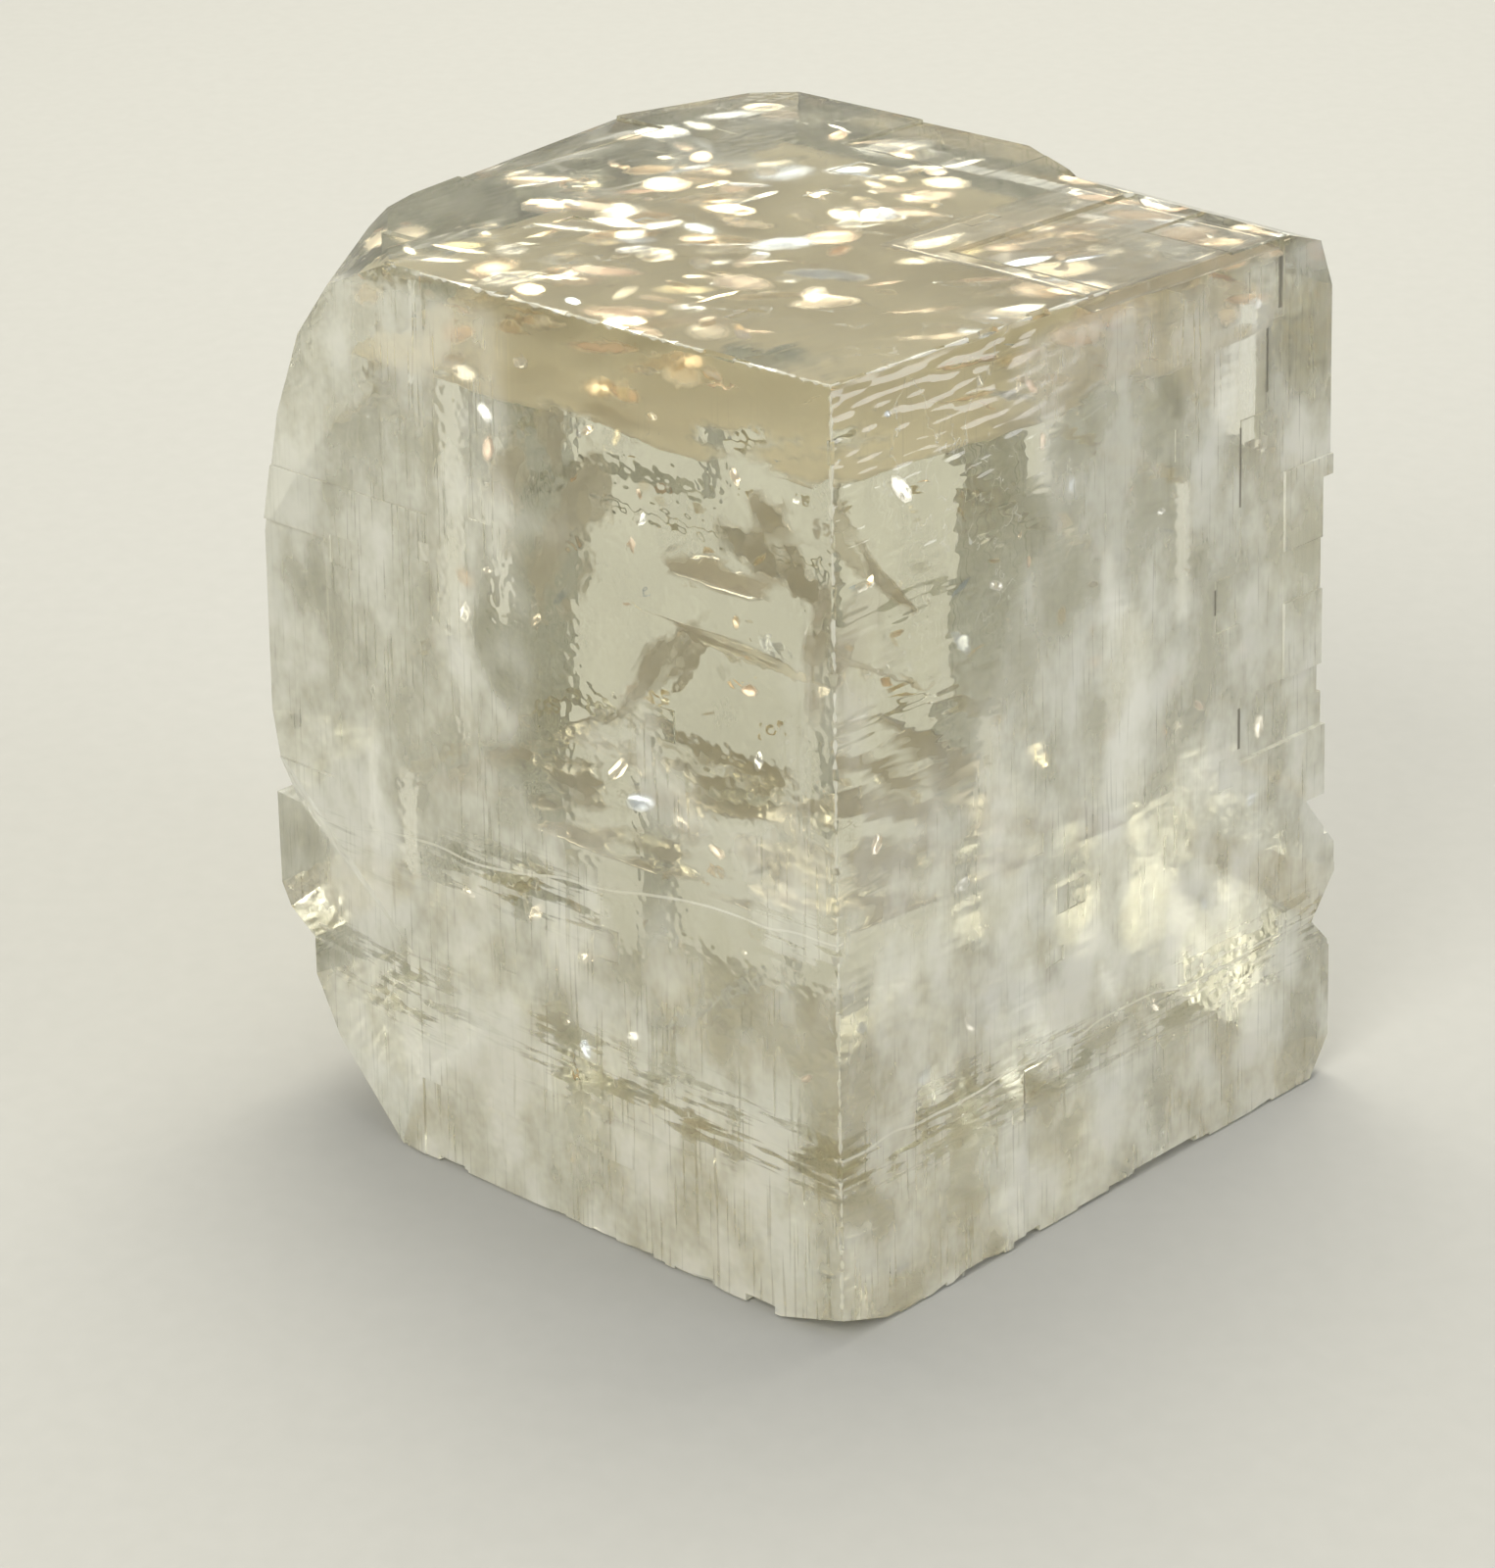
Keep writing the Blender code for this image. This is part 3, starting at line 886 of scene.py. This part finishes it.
soft_rim = add(tree, "ShaderNodeAttribute", attribute_name="cover", output="Fac")
mirror_share = add(tree, MATH, soft_rim, strength, operation="MULTIPLY")
clear = add(tree, "ShaderNodeBsdfTransparent", {"Color": (1, 1, 1, 1)})
both = add(tree, "ShaderNodeMixShader", mirror_share, clear, glint)
add(tree, "ShaderNodeOutputMaterial", both)
print("film colours", len(film_colours))

# %% [markdown]
# Two runs of the tree: a dense layer of nearly level flakes under the top face, and a few small
# sparks turned every way through the rest of the block.

# %% Glitter under the top and sparks in the depth
FLAKE_POINTS = FLAKE_SIDES * (FLAKE_RINGS - 1) + 2

flakes = run_tree(
    "glittering_flakes",
    flake_tree,
    flake_inputs,
    {
        "Low corner": (4, 4, 1.4),
        "High corner": (92, 86, 12),
        "Count": 560,
        "Cluster size": 15.0,
        "Bareness": 0.48,
        "Clear corner": 34.0,
        "Smallest": (0.5, 0.3, 0.02),
        "Largest": (6.0, 3.6, 0.05),
        "Least turn": (-0.26, -0.14, -1.5),
        "Most turn": (0.1, 0.14, -0.1),
        "Seed": 11,
        "Finish": flash,
    },
)
drop_outside(flakes.data, FLAKE_POINTS)
finish_inside(flakes)

sparks = run_tree(
    "deep_sparks",
    flake_tree,
    flake_inputs,
    {
        "Low corner": (0.6, 0.6, 6),
        "High corner": (66, 74, 104),
        "Count": 200,
        "Cluster size": 15.0,
        "Bareness": 0.0,
        "Clear corner": 0.0,
        "Smallest": (0.3, 0.2, 0.02),
        "Largest": (2.6, 1.5, 0.04),
        "Least turn": (-1.6, -0.6, -3.1),
        "Most turn": (1.6, 0.6, 3.1),
        "Seed": 23,
        "Finish": flash,
    },
)
drop_outside(sparks.data, FLAKE_POINTS)
finish_inside(sparks)

# %% [markdown]
# A few splits just behind the front faces happen to lie so that they throw a lamp's light
# straight at the viewer. A mirror does that when its normal is halfway between the way to the
# lamp and the way to the eye. Both ways bend where they enter the crystal, so we bend them first
# by Snell's law.

# %% Where the lamps and the eye are
KEY_PLACE = Vector((-0.55, -0.6, 0.85))
OVERHEAD_PLACE = Vector((0.05, 0.62, 1.0))
SIDE_PLACE = Vector((1.0, -0.35, 0.45))
EYE_PLACE = front_corner + Vector((-0.023007, -0.352498, 0.144134))
BENDING = 1 / SPAR_IOR


def into_crystal(way, outward):
    """The direction a ray takes inside, after it enters through a face."""
    facing = -way.dot(outward)
    deeper = math.sqrt(1 - BENDING**2 * (1 - facing**2))
    return (way * BENDING + outward * (BENDING * facing - deeper)).normalized()


def away_from(normal, inner):
    """The normal of a face, turned so that it points away from the inside."""
    return -normal if normal.dot(inner) > 0 else normal


left_out = away_from(to_left.cross(to_foot).normalized(), to_right)
right_out = away_from(to_right.cross(to_foot).normalized(), to_left)

# %% [markdown]
# The largest flashes have fixed places, given along the crystal's axes with a radius in
# millimetres. Smaller ones are scattered over both faces from a fixed seed.

# %% Places of the flashes
flash_rows = [
    ("left", (54.9, 2.0, 11.2), 2.3),
    ("left", (51.7, 2.0, 15.2), 1.7),
    ("left", (51.4, 2.0, 19.4), 1.9),
    ("left", (33.0, 2.5, 52.8), 2.0),
    ("left", (30.0, 3.0, 56.0), 2.4),
    ("left", (24.0, 3.0, 56.5), 1.8),
    ("left", (56.0, 2.0, 40.0), 1.6),
    ("left", (46.0, 2.0, 74.0), 1.8),
    ("left", (38.0, 2.0, 77.0), 1.4),
    ("right", (2.0, 71.9, 8.5), 1.5),
    ("right", (2.0, 69.7, 50.4), 1.6),
    ("right", (2.0, 73.5, 61.5), 1.8),
    ("right", (2.0, 71.7, 70.2), 1.5),
    ("right", (2.0, 18.0, 60.0), 1.6),
    ("right", (2.0, 12.0, 15.0), 2.4),
]
FLASH_SEED = 7
MORE_EACH = 26
picks = random.Random(FLASH_SEED)
for _ in range(MORE_EACH):
    spot = (picks.uniform(4, 64), picks.uniform(0.8, 4), picks.uniform(8, 104))
    flash_rows.append(("left", spot, picks.uniform(0.5, 1.6)))
for _ in range(MORE_EACH):
    spot = (picks.uniform(0.8, 4), picks.uniform(6, 78), picks.uniform(6, 98))
    flash_rows.append(("right", spot, picks.uniform(0.5, 1.6)))
print("flashes", len(flash_rows))

# %% [markdown]
# Each flash is the same flattened ball as a flake, built here with bmesh because its turn follows
# from where it lies. It gets the same two attributes, and a touch of noise to bend it. Blender's
# noise starts from the clock unless it is given a seed, so it gets the same seed as the places.

# %% Splits that flash
NARROWING = 0.55
FLASH_THICKNESS = 0.03 * MM
BEND_LENGTH, BEND = 1.1 * MM, 0.3 * MM
SOFT_RIM = 0.6
FIRST_HUE, HUE_STEP = 0.15, 0.37
SPIN_STEP = 2.4

noise.seed_set(FLASH_SEED)
shape = bmesh.new()
hue_layer = shape.verts.layers.float.new("hue")
cover_layer = shape.verts.layers.float.new("cover")
for number, (face, spot, radius) in enumerate(flash_rows):
    middle = crystal @ Vector(spot)
    outward, lamp = (left_out, KEY_PLACE) if face == "left" else (right_out, SIDE_PLACE)
    seen = into_crystal((middle - EYE_PLACE).normalized(), outward)
    lit = into_crystal((middle - lamp).normalized(), outward)
    turned = (-(seen + lit).normalized()).to_track_quat("Z", "Y").to_matrix().to_4x4()
    spun = Matrix.Rotation(number * SPIN_STEP, 4, "Z")
    flat = Matrix.Diagonal((radius * MM, radius * NARROWING * MM, FLASH_THICKNESS, 1))
    stand = Matrix.Translation(middle) @ turned @ spun @ flat
    back = stand.inverted()
    made = bmesh.ops.create_uvsphere(
        shape, u_segments=FLAKE_SIDES, v_segments=FLAKE_RINGS, radius=1, matrix=stand
    )
    for vertex in made["verts"]:
        from_middle = (back @ vertex.co).xy.length
        vertex[hue_layer] = (FIRST_HUE + HUE_STEP * number) % 1
        vertex[cover_layer] = max(0.0, min(1.0, (1 - from_middle) / SOFT_RIM))
        vertex.co += noise.noise_vector(vertex.co / BEND_LENGTH) * BEND
mesh = bpy.data.meshes.new("flashing_splits")
shape.to_mesh(mesh)
shape.free()
one_finish(mesh, flash)
drop_outside(mesh, FLAKE_POINTS)
flashing = bpy.data.objects.new("flashing_splits", mesh)
bpy.context.scene.collection.objects.link(flashing)
finish_inside(flashing)

# %% [markdown]
# A veil is a healed crack full of tiny bubbles. To the eye it is a soft, warm-white cloud that
# scatters light forwards and backwards, so it is half Translucent and half Diffuse, and it fades
# to clear by the cover that the tree stored. One veil under the glitter keeps the top bright.

# %% Milky veil
veil, tree = new_material("bubble_veil")
cover = add(tree, "ShaderNodeAttribute", attribute_name="cover", output="Fac")
bubbles = add(tree, FADE, cover, 0, 1, 0, 0.9, **SOFT)
milky = add(tree, "ShaderNodeBsdfTranslucent", {"Color": linear("#fcf5e0")})
chalk = add(tree, "ShaderNodeBsdfDiffuse", {"Color": linear("#faf3de")})
soft = add(tree, "ShaderNodeMixShader", 0.5, milky, chalk)
clear = add(tree, "ShaderNodeBsdfTransparent", {"Color": (1, 1, 1, 1)})
both = add(tree, "ShaderNodeMixShader", bubbles, clear, soft)
add(tree, "ShaderNodeOutputMaterial", both)

veil_rows = (("level", (42, 41, 14), 72, 72, 0, 0.2, 0.2),)
grow_sheets("milky_veils", veil_rows, veil, waviness=7.0, wave_length=28.0, patch=16.0, step=1.6)

# %% [markdown]
# The block stands on a plain table covered with matt paper: to the eye an even pale grey with a
# faint grain. The grain of paper is finer than the picture shows, so it is drawn as specks of
# about three millimetres. The table is not part of the object, so it is not attached to the block.

# %% Table
TABLE_HALF = 1.3
TABLE_GAP = 0.3 * MM
SPECKS_PER_METRE = 300.0

paper, tree = new_material("pale_paper")
place = add(tree, "ShaderNodeTexCoord", output="Object")
grain = add(
    tree, "ShaderNodeTexNoise", {"Vector": place, "Scale": SPECKS_PER_METRE, "Detail": 2.0}
)
tint = add(
    tree,
    "ShaderNodeMix",
    {0: grain, 6: linear("#acaca9"), 7: linear("#b1b1ae")},
    data_type="RGBA",
    output=2,
)
matt = add(tree, "ShaderNodeBsdfPrincipled", {"Base Color": tint, "Roughness": 0.8})
add(tree, "ShaderNodeOutputMaterial", matt)
table_mesh = bpy.data.meshes.new("table")
shape = bmesh.new()
bmesh.ops.create_grid(shape, x_segments=1, y_segments=1, size=TABLE_HALF)
shape.transform(Matrix.Translation((0, 0, -TABLE_GAP)))
shape.to_mesh(table_mesh)
shape.free()
table_mesh.materials.append(paper)
table = bpy.data.objects.new("table", table_mesh)
bpy.context.scene.collection.objects.link(table)
print("table", 2 * TABLE_HALF, "m wide")

# %% [markdown]
# Clear crystal shows mostly what surrounds it, so the light matters as much as the material.
# Three large softboxes give soft light and broad reflections: one from the front left, one high
# behind the block that sets off the glitter in the top, and a cooler one from the right. An even,
# nearly white surround fills the rest.

# %% Light
BLOCK_MIDDLE = Vector((0, 0, 0.055))
SURROUND = 0.58

studio = bpy.data.worlds.new("studio")
studio.use_nodes = True
surround = studio.node_tree.nodes["Background"].inputs
surround["Color"].default_value = linear("#f2f3ef")
surround["Strength"].default_value = SURROUND
bpy.context.scene.world = studio


def softbox(name, place, width, height, watts, code):
    """A soft rectangular lamp aimed at the middle of the block."""
    lamp = bpy.data.lights.new(name, "AREA")
    lamp.shape = "RECTANGLE"
    lamp.size, lamp.size_y = width, height
    lamp.energy = watts
    lamp.color = linear(code)[:3]
    stand = bpy.data.objects.new(name, lamp)
    stand.location = place
    stand.rotation_euler = (BLOCK_MIDDLE - place).to_track_quat("-Z", "Y").to_euler()
    bpy.context.scene.collection.objects.link(stand)
    print(name, watts, "watts")


softbox("key", KEY_PLACE, width=0.6, height=0.6, watts=6.2, code="#fffbf0")
softbox("overhead", OVERHEAD_PLACE, width=0.8, height=0.5, watts=14.0, code="#fffaea")
softbox("side", SIDE_PLACE, width=0.4, height=0.7, watts=3.0, code="#f4f6ff")

# %% [markdown]
# The camera stands where the picture of the real block was taken from. Its place, its aim and its
# focal length in pixels were worked out from the block's own edges and known angles.

# %% Camera
PICTURE_TALL = 1600
FOCAL_PIXELS = 3517.44
SENSOR = 36.0
NEAREST_SEEN = 0.01
SIGHT = Vector((0.03401407, 0.87575949, -0.48154788))
ABOVE = Vector((0.02309548, 0.48100925, 0.87641126))

eye = bpy.data.cameras.new("camera")
eye.sensor_fit = "VERTICAL"
eye.sensor_height = SENSOR
eye.sensor_width = SENSOR
eye.lens = FOCAL_PIXELS / PICTURE_TALL * SENSOR
eye.clip_start = NEAREST_SEEN
camera = bpy.data.objects.new("camera", eye)
turn = Matrix((SIGHT.cross(ABOVE), ABOVE, -SIGHT)).transposed().to_4x4()
camera.matrix_world = Matrix.Translation(EYE_PLACE) @ turn
bpy.context.scene.collection.objects.link(camera)
bpy.context.scene.camera = camera
print("lens", round(eye.lens, 2), "mm")

# %% [markdown]
# Light crosses many surfaces in such a block: in through a face, through films and flakes, off
# the back faces and out again. It needs more bounces than an opaque thing. Clamping the indirect
# light keeps the flashes from leaving stray bright dots.

# %% Light paths
cycles = bpy.context.scene.cycles
cycles.max_bounces = 10
cycles.transmission_bounces = 10
cycles.glossy_bounces = 8
cycles.diffuse_bounces = 4
cycles.transparent_max_bounces = 24
cycles.sample_clamp_indirect = 8.0
cycles.use_denoising = True
bpy.context.scene.view_settings.view_transform = "Standard"
print("light bounces", cycles.max_bounces)
